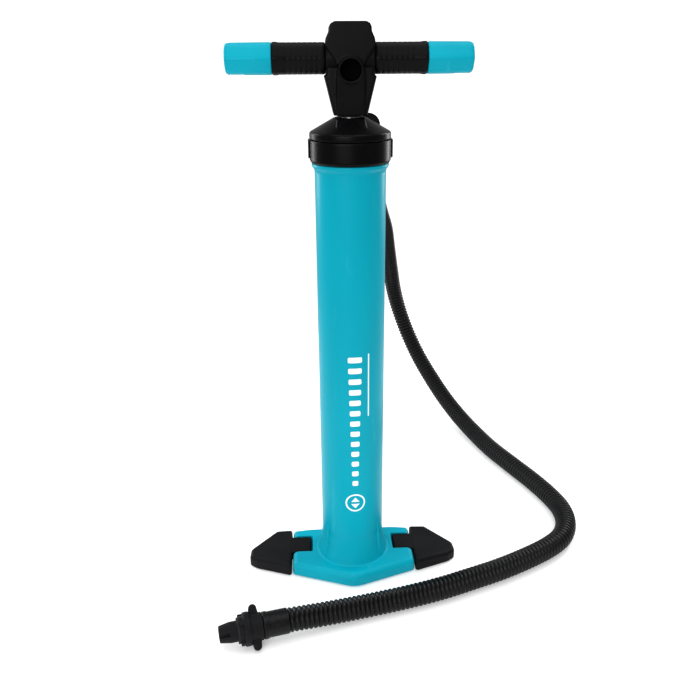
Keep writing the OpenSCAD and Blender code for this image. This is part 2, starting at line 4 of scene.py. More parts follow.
import bmesh
import bpy
from mathutils import Matrix, Vector


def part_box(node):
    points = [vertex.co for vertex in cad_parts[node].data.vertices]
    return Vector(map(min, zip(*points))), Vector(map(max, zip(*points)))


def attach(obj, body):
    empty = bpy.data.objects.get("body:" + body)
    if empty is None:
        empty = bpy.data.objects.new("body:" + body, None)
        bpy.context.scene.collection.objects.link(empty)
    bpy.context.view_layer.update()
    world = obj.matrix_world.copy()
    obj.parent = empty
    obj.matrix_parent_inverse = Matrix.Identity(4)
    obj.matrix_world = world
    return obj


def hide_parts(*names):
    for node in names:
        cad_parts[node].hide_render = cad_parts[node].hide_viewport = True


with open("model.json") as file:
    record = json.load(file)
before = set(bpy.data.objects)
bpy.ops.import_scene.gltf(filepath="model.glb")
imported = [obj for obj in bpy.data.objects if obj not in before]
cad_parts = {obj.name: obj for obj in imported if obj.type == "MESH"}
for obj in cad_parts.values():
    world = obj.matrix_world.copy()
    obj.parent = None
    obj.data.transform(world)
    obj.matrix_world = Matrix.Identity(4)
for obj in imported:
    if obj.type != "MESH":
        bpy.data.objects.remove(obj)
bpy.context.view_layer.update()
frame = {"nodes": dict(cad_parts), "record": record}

# %% [markdown]
# ## Measuring the frame
# The main sizes come from the frame's own boxes, so that a new frame moves the pieces with
# it. `mm` lets the small sizes, such as a wall or a rounded edge, be written in millimetres.
# %% Measure the frame
mm = 0.001


def span(node):
    """A part's lowest and highest corner, and its centre."""
    low, high = (Vector(corner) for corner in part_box(node))
    return low, high, (low + high) / 2


cap_wall = 4.7 * mm
tube_wall = 2.2 * mm
socket_drop = 10.5 * mm
end_grip_bulge = 0.3 * mm
ring_bottom = span("cap_ring")[0].z
barrel_radius = span("cap_ring")[1].y - cap_wall
handle_height = span("grip_left")[2].z
handle_half = span("end_grip_right")[1].x
end_grip_start = span("end_grip_right")[0].x
grip_start = span("grip_right")[0].x
grip_radius = span("end_grip_right")[1].z - handle_height - end_grip_bulge
socket_mouth = Vector((0, span("handle_shell_front")[0].y, handle_height - socket_drop))
print(f"barrel {2000 * barrel_radius:.1f} mm wide, handle {2000 * handle_half:.0f} mm long")

# %% [markdown]
# ## The camera
# The camera stands 0.8 m in front of the pump at the height of its handle, and looks down
# on it a little. It comes first, because the hose has to lie where this view shows it. It is
# so near that the barrel narrows towards the floor.
# %% Set up the camera
camera_data = bpy.data.cameras.new("camera")
camera_data.sensor_width = 36
camera_data.lens = 38.5
camera_data.clip_start, camera_data.clip_end = 0.01, 50.0
camera = bpy.data.objects.new("camera", camera_data)
bpy.context.scene.collection.objects.link(camera)
camera_turn, camera_tilt, camera_roll = -0.05, math.radians(67.855), -0.0062
camera.location = (-0.0414, -0.7964, 0.6123)
camera.matrix_world = (Matrix.Translation(camera.location)
                       @ Matrix.Rotation(camera_turn, 4, "Z")
                       @ Matrix.Rotation(camera_tilt, 4, "X")
                       @ Matrix.Rotation(camera_roll, 4, "Z"))
bpy.context.scene.camera = camera
print("camera stands", round(camera.location.length, 2), "m from the pump's foot")

# %% [markdown]
# ## Writing node trees as sums
# Both materials and Geometry Nodes are node trees. Two small classes make them readable:
# `Wire` is one value in a tree, and a sum or a product of wires adds its Math nodes.
# `Graph` adds any other node from its type, its settings and the values of its sockets.
# %% Wires and graphs
class Wire:
    """One value in a node tree, which can be added, multiplied and compared."""

    def __init__(self, graph, socket):
        self.graph, self.socket = graph, socket

    def math(self, operation, *others):
        values = {0: self, **{place + 1: other for place, other in enumerate(others)}}
        return self.graph.node("ShaderNodeMath", values, operation=operation)

    def __add__(self, other):
        return self.math("ADD", other)

    def __sub__(self, other):
        return self.math("SUBTRACT", other)

    def __mul__(self, other):
        return self.math("MULTIPLY", other)

    def __truediv__(self, other):
        return self.math("DIVIDE", other)

    def __pow__(self, other):
        return self.math("POWER", other)

    def __rsub__(self, other):
        return self.graph.node("ShaderNodeMath", {0: other, 1: self}, operation="SUBTRACT")

    __radd__, __rmul__ = __add__, __mul__

    def above(self, low, high):
        """0 below low, 1 above high, and a smooth step between."""
        return self.graph.node("ShaderNodeMapRange", {0: self, 1: low, 2: high, 3: 0.0, 4: 1.0},
                               interpolation_type="SMOOTHSTEP")


class Graph:
    """A node tree, and the one method that adds any node to it."""

    def __init__(self, tree):
        self.tree = tree

    def node(self, kind, sockets=None, out=0, stops=None, **settings):
        made = self.tree.nodes.new(kind)
        for name, value in settings.items():
            setattr(made, name, value)
        for place, (position, colour) in enumerate(stops or []):
            ramp = made.color_ramp.elements
            stop = ramp[place] if place < len(ramp) else ramp.new(position)
            stop.position, stop.color = position, (*colour, 1.0)
        for name, value in (sockets or {}).items():
            self.give(made.inputs[name], value)
        return Wire(self, made.outputs[out])

    def give(self, socket, value):
        if isinstance(value, Wire):
            self.tree.links.new(value.socket, socket)
        else:
            socket.default_value = value

# %% [markdown]
# ## The hose's route
# The hose leaves the port behind the cap, hangs down behind the pump, touches the floor and
# comes round the right side to the front. Its points are in millimetres here and are turned
# to metres. A smooth curve goes through them all, and it is cut into equal short steps, so
# that ribs can be spread evenly along it.
# %% Lay out the route
nozzle_at = Vector((-79, -134, 19)) * mm
nozzle_heading = math.radians(193.5)
nozzle_axis = Vector((math.cos(nozzle_heading), math.sin(nozzle_heading), 0))
port_tilt = math.radians(12)
port_axis = Vector((0, math.cos(port_tilt), -math.sin(port_tilt)))
hose_start = Vector((20, 87.05, 520.0)) * mm
HOSE_ROUTE = [
    (22, 137, 509), (26, 187, 495), (32, 236, 477), (39, 283, 454), (48, 327, 427),
    (58, 368, 395), (69, 404, 360), (80, 438, 327), (88, 467, 286), (96, 489, 242),
    (104, 501, 199), (115, 499, 159), (130, 483, 119), (147, 456, 85), (166, 421, 57),
    (185, 380, 35), (203, 337, 21), (219, 291, 15), (235, 241, 13.5), (256, 188, 13.5),
    (275, 141, 13.5), (288, 101, 13.5), (294, 67, 13.5), (290, 35, 13.5), (276, 7, 13.5),
    (253, -14, 13.5), (220, -34, 13.5), (182, -53, 13.5), (143, -69, 13.5), (98, -86, 13.5),
    (50, -100, 13.5), (2, -112, 14), (-39, -123, 16)]
route = [hose_start, *(Vector(point) * mm for point in HOSE_ROUTE), nozzle_at]


def smooth_line(points, start_heading, end_heading):
    """A dense line through the points: one cubic Hermite piece between each two."""
    count = len(points)
    slopes = [(points[min(i + 1, count - 1)] - points[max(i - 1, 0)]) / 2 for i in range(count)]
    slopes[0] = start_heading * (points[1] - points[0]).length
    slopes[-1] = end_heading * (points[-1] - points[-2]).length
    line, steps = [], 40
    for i in range(count - 1):
        for step in range(steps):
            t = step / steps
            line.append(points[i] * (2 * t**3 - 3 * t**2 + 1) + slopes[i] * (t**3 - 2 * t**2 + t)
                        + points[i + 1] * (3 * t**2 - 2 * t**3) + slopes[i + 1] * (t**3 - t**2))
    return line + [points[-1]]


def even_steps(line, count):
    """The same line as count + 1 points with an equal distance between them."""
    along = [0.0]
    for a, b in zip(line, line[1:]):
        along.append(along[-1] + (b - a).length)
    result, place = [], 0
    for i in range(count + 1):
        target = along[-1] * i / count
        while place < len(line) - 2 and along[place + 1] < target:
            place += 1
        share = (target - along[place]) / (along[place + 1] - along[place])
        result.append(line[place].lerp(line[place + 1], min(max(share, 0.0), 1.0)))
    return result, along[-1]


rib_pitch = 5.5 * mm
steps_per_rib = 6
hose_diameter = 27 * mm
hose_line = smooth_line(route, port_axis, nozzle_axis)
hose_length = sum((b - a).length for a, b in zip(hose_line, hose_line[1:]))
rib_count = round(hose_length / rib_pitch)
hose_points, hose_length = even_steps(hose_line, rib_count * steps_per_rib)
print(f"the hose is {hose_length:.3f} m long and has {rib_count} ribs")

# %% [markdown]
# ## Finishes
# Each finish is a function that returns a material. All patterns are on Object coordinates,
# in metres, so a scale of 1000 gives detail a millimetre across. Moulded plastic is never
# one flat colour: the pigment drifts a little, the tool leaves a fine grain, and handling
# leaves faint scuffs that are rougher than the rest.
# %% Helpers for finishes
def linear(red, green, blue):
    """A colour as it is picked on a screen, from 0 to 255, as light values."""
    def light(value):
        value = value / 255
        return value / 12.92 if value <= 0.04045 else ((value + 0.055) / 1.055) ** 2.4
    return tuple(light(value) for value in (red, green, blue))


class Finish(Graph):
    """A material that is being made, with its shader and its Object coordinates."""

    def __init__(self, name):
        self.material = bpy.data.materials.new(name)
        self.material.use_nodes = True
        super().__init__(self.material.node_tree)
        self.shader = self.tree.nodes["Principled BSDF"]
        self.place = self.node("ShaderNodeTexCoord", out=3)

    def noise(self, scale, detail=3.0, stretch=None, roughness=0.5):
        place = self.place
        if stretch:
            place = self.node("ShaderNodeMapping", {"Vector": place, "Scale": stretch})
        return self.node("ShaderNodeTexNoise", {"Vector": place, "Scale": scale,
                                                "Detail": detail, "Roughness": roughness})

    def mix(self, share, first, second):
        """A colour between two, by a share from 0 to 1."""
        sockets = {0: share, 6: first, 7: second}
        return self.node("ShaderNodeMix", sockets, out=2, data_type="RGBA")

    def bump(self, height, distance, strength=1.0):
        return self.node("ShaderNodeBump", {"Height": height, "Distance": distance,
                                            "Strength": strength})

    def done(self, **sockets):
        for name, value in sockets.items():
            self.give(self.shader.inputs[name.replace("_", " ")], value)
        return self.material


def tone(colour, factor=1.0):
    """A colour made darker or lighter, with the fourth number that sockets want."""
    return (*(min(part * factor, 1.0) for part in colour), 1.0)

# %% [markdown]
# ### Turquoise plastic
# The barrel, the base and the end grips are glossy ABS. Its skin is smooth with a slight
# orange peel, which breaks up the reflections of the lights. The pigment is a touch darker
# in long soft streaks that run up the mould.
# %% Make the moulded plastics
def turquoise_plastic(name, roughness=0.34):
    finish = Finish(name)
    colour = linear(6, 162, 182)
    drift = finish.noise(9.0, 3.0, (1.0, 1.0, 0.25))
    speck = finish.noise(420.0, 2.0)
    scuff = finish.noise(60.0, 6.0, (1.0, 1.0, 0.18), 0.62).above(0.6, 0.72)
    body = finish.mix(drift.above(0.3, 0.7), tone(colour, 0.93), tone(colour, 1.07))
    body = finish.mix(scuff * 0.10, body, tone(linear(120, 205, 215)))
    peel = finish.noise(260.0, 2.0)
    fine = finish.noise(2600.0, 2.0)
    return finish.done(
        Base_Color=body,
        Roughness=roughness + (speck - 0.5) * 0.08 + scuff * 0.12,
        Normal=finish.bump(peel + fine * 0.35, 0.06 * mm, 0.35),
        Specular_IOR_Level=0.14)


def black_plastic(name, shade=21, roughness=0.47, grain=0.07):
    """Black nylon with the fine sparked grain that such mouldings have."""
    finish = Finish(name)
    colour = linear(shade, shade, shade + 2)
    drift = finish.noise(22.0, 3.0)
    scuff = finish.noise(75.0, 6.0, (0.35, 1.0, 1.0), 0.6).above(0.61, 0.74)
    body = finish.mix(drift.above(0.3, 0.7), tone(colour, 0.82), tone(colour, 1.2))
    body = finish.mix(scuff * 0.12, body, tone(linear(58, 58, 62)))
    pores = finish.noise(1500.0, 3.0, None, 0.6)
    cells = finish.node("ShaderNodeTexVoronoi", {"Vector": finish.place, "Scale": 1150.0})
    return finish.done(
        Base_Color=body,
        Roughness=roughness + (pores - 0.5) * 0.16 + scuff * 0.1,
        Normal=finish.bump(pores * 0.7 + cells * 0.5, grain * mm, 0.55),
        Specular_IOR_Level=0.12)


turquoise = turquoise_plastic("turquoise_plastic")
turquoise_base = turquoise_plastic("turquoise_base_plastic", 0.42)
black = black_plastic("black_plastic", 14, 0.42)
black_cap = black_plastic("black_cap_plastic", 9, 0.3, 0.006)
black_foot = black_plastic("black_foot_plastic", 25, 0.5, 0.09)
black_grip = black_plastic("black_grip_plastic", 14, 0.4, 0.1)
for finish_made in (turquoise, turquoise_base, black, black_cap, black_foot, black_grip):
    print("moulded plastic:", finish_made.name)

# %% [markdown]
# ### Rubber, nylon and metal
# The hose is a soft plastic with a satin skin, a little lighter and rougher in patches of dust.
# Seals are dull rubber. The inner fits are pale nylon, and the rod is drawn aluminium, with fine
# scratches all the way along it.
# %% Make the soft and metal finishes
def hose_plastic(name):
    finish = Finish(name)
    colour = linear(15, 15, 16)
    drift = finish.noise(30.0, 3.0)
    dust = finish.noise(240.0, 5.0, None, 0.65).above(0.52, 0.75)
    body = finish.mix(drift, tone(colour, 0.8), tone(colour, 1.25))
    body = finish.mix(dust * 0.1, body, tone(linear(80, 80, 82)))
    fine = finish.noise(1800.0, 3.0)
    return finish.done(Base_Color=body, Roughness=0.36 + dust * 0.22 + (fine - 0.5) * 0.1,
                       Normal=finish.bump(fine, 0.05 * mm, 0.4), Specular_IOR_Level=0.22)


def dull_rubber(name, colour):
    finish = Finish(name)
    bloom = finish.noise(160.0, 4.0, None, 0.6)
    fine = finish.noise(2200.0, 3.0)
    body = finish.mix(bloom.above(0.35, 0.7), tone(colour, 0.85), tone(colour, 1.35))
    return finish.done(Base_Color=body, Roughness=0.72 + (bloom - 0.5) * 0.25,
                       Normal=finish.bump(fine, 0.08 * mm, 0.5), Specular_IOR_Level=0.4)


def pale_nylon(name):
    finish = Finish(name)
    colour = linear(214, 211, 198)
    cloud = finish.noise(90.0, 4.0)
    fine = finish.noise(1200.0, 3.0)
    body = finish.mix(cloud, tone(colour, 0.88), tone(colour, 1.05))
    return finish.done(Base_Color=body, Roughness=0.45 + (cloud - 0.5) * 0.2,
                       Normal=finish.bump(fine, 0.04 * mm, 0.4), Subsurface_Weight=0.08)


def drawn_metal(name, colour, roughness, along, strength):
    """Bare metal with scratches along one direction."""
    finish = Finish(name)
    scratches = finish.noise(700.0, 4.0, along, 0.7)
    cloud = finish.noise(40.0, 3.0)
    body = finish.mix(cloud, tone(colour, 0.86), tone(colour, 1.06))
    return finish.done(Base_Color=body, Metallic=1.0,
                       Roughness=roughness + (scratches - 0.5) * 0.22 + (cloud - 0.5) * 0.1,
                       Normal=finish.bump(scratches, 0.02 * mm, strength))


hose_skin = hose_plastic("hose_plastic")
seal = dull_rubber("seal_rubber", linear(30, 30, 31))
silicone = dull_rubber("valve_silicone", linear(190, 96, 40))
nylon = pale_nylon("natural_nylon")
aluminium = drawn_metal("drawn_aluminium", linear(205, 208, 212), 0.27, (1.0, 1.0, 0.02), 0.3)
steel = drawn_metal("plated_steel", linear(176, 178, 182), 0.32, (0.4, 0.4, 0.4), 0.2)
print("finishes:", ", ".join(m.name for m in (hose_skin, seal, silicone, nylon, aluminium, steel)))

# %% [markdown]
# ## Tools for making solids
# Every piece ends as a closed mesh whose faces point outwards. These three tools turn a
# bmesh into such a mesh, put a mesh in the scene, and keep what an object's modifiers make.
# %% Keep and place meshes
def mesh_from(made, name):
    """Turns a bmesh into a mesh whose faces all point outwards."""
    bmesh.ops.remove_doubles(made, verts=made.verts, dist=1e-6)
    bmesh.ops.recalc_face_normals(made, faces=made.faces)
    mesh = bpy.data.meshes.new(name)
    made.to_mesh(mesh)
    made.free()
    return mesh


def placed(mesh, name="part"):
    made = bpy.data.objects.new(name, mesh)
    bpy.context.scene.collection.objects.link(made)
    return made


def settled(worker, name):
    """The plain mesh that an object's modifiers give. The object is then deleted."""
    bpy.context.view_layer.update()
    tree = bpy.context.evaluated_depsgraph_get()
    mesh = bpy.data.meshes.new_from_object(worker.evaluated_get(tree))
    mesh.name = name
    bpy.data.objects.remove(worker, do_unlink=True)
    return mesh


# %% [markdown]
# Lathed and extruded parts start as an outline. `turned` spins one whose corners are rounded
# first, as no moulding has a sharp edge. `prism` stretches one straight up.
# %% Spin and stretch outlines
def rounded(outline, radius, steps=5):
    """An outline with its corners rounded, as far as the edges beside each allow."""
    count, result = len(outline), []
    for i, corner in enumerate(outline):
        here = Vector(corner)
        back, ahead = Vector(outline[i - 1]) - here, Vector(outline[(i + 1) % count]) - here
        turn = math.pi - back.angle(ahead)
        reach = radius * math.tan(turn / 2) if turn > 0.02 else 0
        reach = min(reach, back.length * 0.45, ahead.length * 0.45)
        if reach < 1e-6 or here.x < 1e-6:
            result.append(here)
            continue
        first, last = here + back.normalized() * reach, here + ahead.normalized() * reach
        for step in range(steps + 1):
            t = step / steps
            result.append(first * (1 - t) ** 2 + here * 2 * t * (1 - t) + last * t**2)
    return result


def turned(name, outline, radius=0.4 * mm, sides=128, place=Matrix()):
    """A solid of revolution about Z. The outline is a closed loop of (radius, height)."""
    made = bmesh.new()
    points = rounded(outline, radius)
    rings = []
    for point in points:
        if point.x < 1e-6:
            rings.append([made.verts.new(place @ Vector((0, 0, point.y)))] * sides)
        else:
            turns = (2 * math.pi * side / sides for side in range(sides))
            ring = (Vector((point.x * math.cos(turn), point.x * math.sin(turn), point.y))
                    for turn in turns)
            rings.append([made.verts.new(place @ corner) for corner in ring])
    for lower, upper in zip(rings, rings[1:] + rings[:1]):
        for side in range(sides):
            after = (side + 1) % sides
            corners = dict.fromkeys([lower[side], lower[after], upper[after], upper[side]])
            if len(corners) > 2:
                made.faces.new(list(corners))
    return mesh_from(made, name)


def prism(outline, low, high, place=Matrix()):
    """A straight solid between two heights over an outline of (x, y) points."""
    made = bmesh.new()
    layers = [[made.verts.new(place @ Vector((x, y, height))) for x, y in outline]
              for height in (low, high)]
    made.faces.new(layers[0])
    made.faces.new(layers[1])
    for i in range(len(outline)):
        j = (i + 1) % len(outline)
        made.faces.new([layers[0][i], layers[0][j], layers[1][j], layers[1][i]])
    return mesh_from(made, "prism")


def box(low, high, place=Matrix()):
    (x0, y0, z0), (x1, y1, z1) = low, high
    return prism([(x0, y0), (x1, y0), (x1, y1), (x0, y1)], z0, z1, place)


# %% [markdown]
# Solids are built up and cut away like wood: `joined` glues, `cut` removes. Their operation
# runs as a modifier, and only its result is kept.
# %% Combine solids
def combined(mesh, others, operation):
    worker, helpers = placed(mesh), [placed(other) for other in others]
    for helper in helpers:
        step = worker.modifiers.new("step", "BOOLEAN")
        step.operation, step.object, step.solver = operation, helper, "MANIFOLD"
    result = settled(worker, mesh.name)
    for helper in helpers:
        bpy.data.objects.remove(helper, do_unlink=True)
    return result


def joined(mesh, *others):
    return combined(mesh, others, "UNION")


def cut(mesh, *others):
    return combined(mesh, others, "DIFFERENCE")


# %% [markdown]
# A plate with a rounded rim is the hull of smaller and smaller outlines towards its top,
# which is what `domed` makes. `softened` is for shapes that are too mixed for that. It
# rebuilds a solid from tiny cubes and relaxes it, which rounds every edge and fills every
# inner corner at once, as a mould does.
# %% Round solids
def inset(outline, distance):
    """A convex outline, anticlockwise, with every edge moved inwards by a distance."""
    kept = list(outline)
    for a, b in zip(outline, outline[1:] + outline[:1]):
        edge = (b - a).normalized()
        inwards = Vector((-edge.y, edge.x))
        clipped = []
        for here, after in zip(kept, kept[1:] + kept[:1]):
            depth, depth_after = ((point - a).dot(inwards) - distance for point in (here, after))
            if depth >= 0:
                clipped.append(here)
            if depth * depth_after < 0:
                clipped.append(here.lerp(after, depth / (depth - depth_after)))
        kept = clipped
    return kept


def hull_outline(points):
    """The convex outline round a set of flat points, anticlockwise."""
    points = sorted({(round(x, 6), round(y, 6)) for x, y in points})
    halves = []
    for run in (points, points[::-1]):
        half = []
        for x, y in run:
            while len(half) > 1:
                (x0, y0), (x1, y1) = half[-2:]
                if (x1 - x0) * (y - y0) - (y1 - y0) * (x - x0) > 0:
                    break
                half.pop()
            half.append((x, y))
        halves += half[:-1]
    return [Vector(point) for point in halves]


def domed(outline, low, high, radius, drop=lambda x: 0.0):
    """A convex solid over an outline, whose top edge is rounded all the way round."""
    made = bmesh.new()
    for point in outline:
        made.verts.new((point.x, point.y, low))
    steps = 8
    for step in range(steps + 1):
        turn = math.pi / 2 * step / steps
        level = high - radius * (1 - math.sin(turn))
        for point in inset(outline, radius * (1 - math.cos(turn))):
            made.verts.new((point.x, point.y, level - drop(abs(point.x))))
    bmesh.ops.convex_hull(made, input=made.verts)
    bmesh.ops.delete(made, geom=[v for v in made.verts if not v.link_faces], context="VERTS")
    return mesh_from(made, "domed")


def softened(mesh, voxel, rounds, factor=0.5):
    """Rounds every edge and inner corner of a closed solid."""
    worker = placed(mesh)
    rebuild = worker.modifiers.new("rebuild", "REMESH")
    rebuild.mode, rebuild.voxel_size, rebuild.use_smooth_shade = "VOXEL", voxel, True
    relax = worker.modifiers.new("relax", "SMOOTH")
    relax.factor, relax.iterations = factor, rounds
    return settled(worker, mesh.name)


def frame_copy(node):
    """A copy of a part from the frame, with its loose triangles merged."""
    made = bmesh.new()
    made.from_mesh(frame["nodes"][node].data)
    bmesh.ops.remove_doubles(made, verts=made.verts, dist=1e-6)
    bmesh.ops.dissolve_degenerate(made, edges=made.edges, dist=1e-7)
    mesh = bpy.data.meshes.new(node)
    made.to_mesh(mesh)
    made.free()
    return mesh

# %% [markdown]
# A finished piece needs the same few things each time: a name, a finish, the body that it rides
# on, and the parts of the frame that it stands for.
# %% Put a piece on its body
def piece(name, mesh, finish, replaced, smooth=True):
    """Makes a finished piece that rides with the frame's parts that it replaces."""
    made = placed(mesh, name)
    mesh.materials.clear()
    mesh.materials.append(finish)
    mesh.polygons.foreach_set("material_index", [0] * len(mesh.polygons))
    mesh.polygons.foreach_set("use_smooth", [smooth] * len(mesh.polygons))
    if smooth:
        mesh.set_sharp_from_angle(angle=math.radians(50))
    bodies, parts = frame["record"]["behaviour"]["bodies"], frame["record"]["subparts"]
    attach(made, next(body for body, nodes in bodies.items() if replaced[0] in nodes))
    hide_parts(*replaced)
    print(f"{name}: {len(mesh.polygons)} faces")
    return made

# %% [markdown]
# ## Trees that repeat a shape
# Geometry Nodes repeat a shape along a path or on points. `Grower` starts such a tree with
# named inputs, and `grown` runs it on an object and keeps the plain mesh that comes out.
# %% Helpers for Geometry Nodes
class Grower(Graph):
    """A Geometry Nodes tree with named inputs. result() closes it."""

    KINDS = {"size": "NodeSocketFloat", "count": "NodeSocketInt", "object": "NodeSocketObject",
             "material": "NodeSocketMaterial"}

    def __init__(self, name, **inputs):
        super().__init__(bpy.data.node_groups.new(name, "GeometryNodeTree"))
        self.tree.interface.new_socket("Geometry", in_out="INPUT",
                                       socket_type="NodeSocketGeometry")
        for label, kind in inputs.items():
            self.tree.interface.new_socket(label, in_out="INPUT", socket_type=self.KINDS[kind])
        self.tree.interface.new_socket("Geometry", in_out="OUTPUT",
                                       socket_type="NodeSocketGeometry")
        self.given = self.tree.nodes.new("NodeGroupInput")

    def input(self, label):
        return Wire(self, self.given.outputs[label])

    def result(self, geometry):
        real = self.node("GeometryNodeRealizeInstances", {"Geometry": geometry})
        painted = self.node("GeometryNodeSetMaterial", {"Geometry": real,
                                                        "Material": self.input("Material")})
        end = self.tree.nodes.new("NodeGroupOutput")
        self.tree.links.new(painted.socket, end.inputs[0])


def grown(source, grower, name, **values):
    """Runs a tree on an object and returns the plain mesh that it makes."""
    worker = placed(source, name)
    step = worker.modifiers.new("grow", "NODES")
    step.node_group = grower.tree
    for item in grower.tree.interface.items_tree:
        if item.in_out == "INPUT" and item.name in values:
            step[item.identifier] = values[item.name]
    return settled(worker, name)

# %% [markdown]
# ## The hose
# The hose is a corrugated tube, so it bends without kinking. Its ribs are one rule: the
# radius falls into a narrow groove once in every 5.5 mm. The tree turns the evenly stepped
# route into a curve, and sweeps a circle along it whose scale follows that rule.
# %% Grow the ribbed hose
ribs = Grower("ribbed_hose", Radius="size", Groove="size", Pitch="size", Sides="count",
              Material="material")
path_curve = ribs.node("GeometryNodeMeshToCurve", {"Mesh": ribs.input("Geometry")})
along = ribs.node("GeometryNodeSplineParameter", out=1)
wave = (along / ribs.input("Pitch") * (2 * math.pi)).math("COSINE") * 0.5 + 0.5
ring = ribs.node("GeometryNodeCurvePrimitiveCircle", {"Resolution": ribs.input("Sides"),
                                                      "Radius": 1.0})
swept = ribs.node("GeometryNodeCurveToMesh", {
    "Curve": path_curve, "Profile Curve": ring, "Fill Caps": True,
    "Scale": ribs.input("Radius") - ribs.input("Groove") * wave ** 1.6})
ribs.result(swept)

line_mesh = bpy.data.meshes.new("route")
line_mesh.from_pydata(hose_points, [(i, i + 1) for i in range(len(hose_points) - 1)], [])
groove_depth = 1.8 * mm
hose_mesh = grown(line_mesh, ribs, "ribbed_hose", Radius=hose_diameter / 2,
                  Groove=groove_depth, Pitch=hose_length / rib_count, Sides=24,
                  Material=hose_skin)
hose = piece("ribbed_hose", hose_mesh, hose_skin, ["hose_tube"])
print(f"hose box {tuple(round(side, 3) for side in hose.dimensions)} m")

# %% [markdown]
# The hose is pushed into a cuff at each end. Each cuff is a plain spun sleeve with a rolled
# lip, and the one at the port has three shallow rings, which stop a wet hand from slipping.
# The outlines are written as (distance from the axis, distance along it), in millimetres.
# %% Spin the two cuffs
def along_axis(origin, heading):
    """A placing that turns Z to a heading, at a point."""
    return Matrix.Translation(origin) @ heading.to_track_quat("Z", "Y").to_matrix().to_4x4()


def sleeve_outline(outer, bore):
    """Closes an outer outline with the bore behind it. All sizes are in millimetres."""
    ends = [(bore, outer[-1][1]), (bore, outer[0][1])]
    return [(radius * mm, height * mm) for radius, height in outer + ends]


def rings_between(radius, start, end, count, depth):
    """Shallow round-bottomed rings along a straight stretch of an outline."""
    points, pitch = [], (end - start) / count
    for i in range(count):
        middle = start + (i + 0.5) * pitch
        points += [(radius, middle - 0.7), (radius - depth, middle), (radius, middle + 0.7)]
    return points


nozzle_place = along_axis(nozzle_at, nozzle_axis)
port_place = along_axis(hose_start, -port_axis)
nozzle_cuff = turned("nozzle_cuff_moulded", sleeve_outline(
    [(13.3, 0.2), (13.9, 0.8), (14.0, 3), (14.0, 21), (14.2, 23.4), (14.8, 24.2), (14.8, 28),
     (14.3, 28.9)], 9.6), 0.5 * mm, 96, nozzle_place)
piece("nozzle_cuff_moulded", nozzle_cuff, hose_skin, ["nozzle_cuff"])
port_cuff = turned("port_cuff_moulded", sleeve_outline(
    [(13.8, 0.2), (14.1, 1.5)] + rings_between(14.5, 3, 13, 3, 0.6) + [(14.9, 16.5),
     (14.9, 19.4), (14.3, 20.9)], 8.5), 0.4 * mm, 96, port_place)
piece("port_cuff_moulded", port_cuff, hose_skin, ["hose_cuff"])

# %% [markdown]
# ## The nozzle
# The nozzle locks into a valve by a quarter turn, so it has two ears to turn it by, a stop
# collar with notches, and a tapered tip with two bayonet slots. The frame's part has the
# right shape with hard edges. A copy is softened, so that every edge gets the small radius
# that a mould gives it.
# %% Soften the nozzle
nozzle_mesh = softened(frame_copy("nozzle_body"), 0.42 * mm, 5)
nozzle_finish = black_plastic("black_nozzle_plastic", 27, 0.5, 0.06)
piece("bayonet_nozzle", nozzle_mesh, nozzle_finish, ["nozzle_body"])

# %% [markdown]
# ## The barrel
# The barrel is an extruded tube with a bead moulded round it just under the screw ring. A
# spun outline gives it a round skin and a soft fillet under the bead.
# %% Spin the barrel
barrel_low, barrel_high, _ = span("barrel_tube")
bead_width = barrel_high.x
tube_bore = barrel_radius - tube_wall
bead_top = ring_bottom - 0.4 * mm
barrel_outline = [
    (tube_bore, barrel_low.z), (barrel_radius, barrel_low.z),
    (barrel_radius, bead_top - 9 * mm), (barrel_radius + 0.5 * mm, bead_top - 6.5 * mm),
    (bead_width - 0.3 * mm, bead_top - 3.6 * mm), (bead_width, bead_top - 2.6 * mm),
    (bead_width, bead_top - 0.6 * mm), (bead_width - 0.8 * mm, bead_top),
    (barrel_radius, bead_top + 0.1 * mm), (barrel_radius, barrel_high.z),
    (tube_bore, barrel_high.z)]
piece("barrel", turned("barrel", barrel_outline, 0.8 * mm, 192), turquoise, ["barrel_tube"])

# %% [markdown]
# The white print on the barrel is a generic one: a ladder of bars that grows towards the
# top, a thin line beside it, and a round sign with an arrow up and an arrow down for the
# two strokes that pump air. Each flat shape is sliced into narrow strips, so that it can be
# wrapped round the barrel as a film a tenth of a millimetre thick.
# %% Print the generic sign
def film(outline, holes=()):
    """A thin film over a flat outline of (across, up) points, wrapped on the barrel."""
    made = bmesh.new()
    loops = [outline, *holes]
    for loop in loops:
        corners = [made.verts.new((x, y, 0)) for x, y in loop]
        for a, b in zip(corners, corners[1:] + corners[:1]):
            made.edges.new((a, b))
    bmesh.ops.triangle_fill(made, edges=made.edges, use_beauty=True)
    strips = int(max(abs(x) for x, y in outline) / mm)
    for i in range(-strips, strips + 1):
        everything = made.verts[:] + made.edges[:] + made.faces[:]
        bmesh.ops.bisect_plane(made, geom=everything, plane_co=(i * mm, 0, 0),
                               plane_no=(1, 0, 0), dist=1e-7)
    bmesh.ops.recalc_face_normals(made, faces=made.faces)
    raised = bmesh.ops.extrude_face_region(made, geom=made.faces[:])["geom"]
    for vert in (v for v in raised if isinstance(v, bmesh.types.BMVert)):
        vert.co.z = 1
    for vert in made.verts:
        across, up, outer = vert.co
        radius = barrel_radius + (0.09 if outer else -0.03) * mm
        turn = across / barrel_radius
        vert.co = (radius * math.sin(turn), -radius * math.cos(turn), up)
    return mesh_from(made, "film")


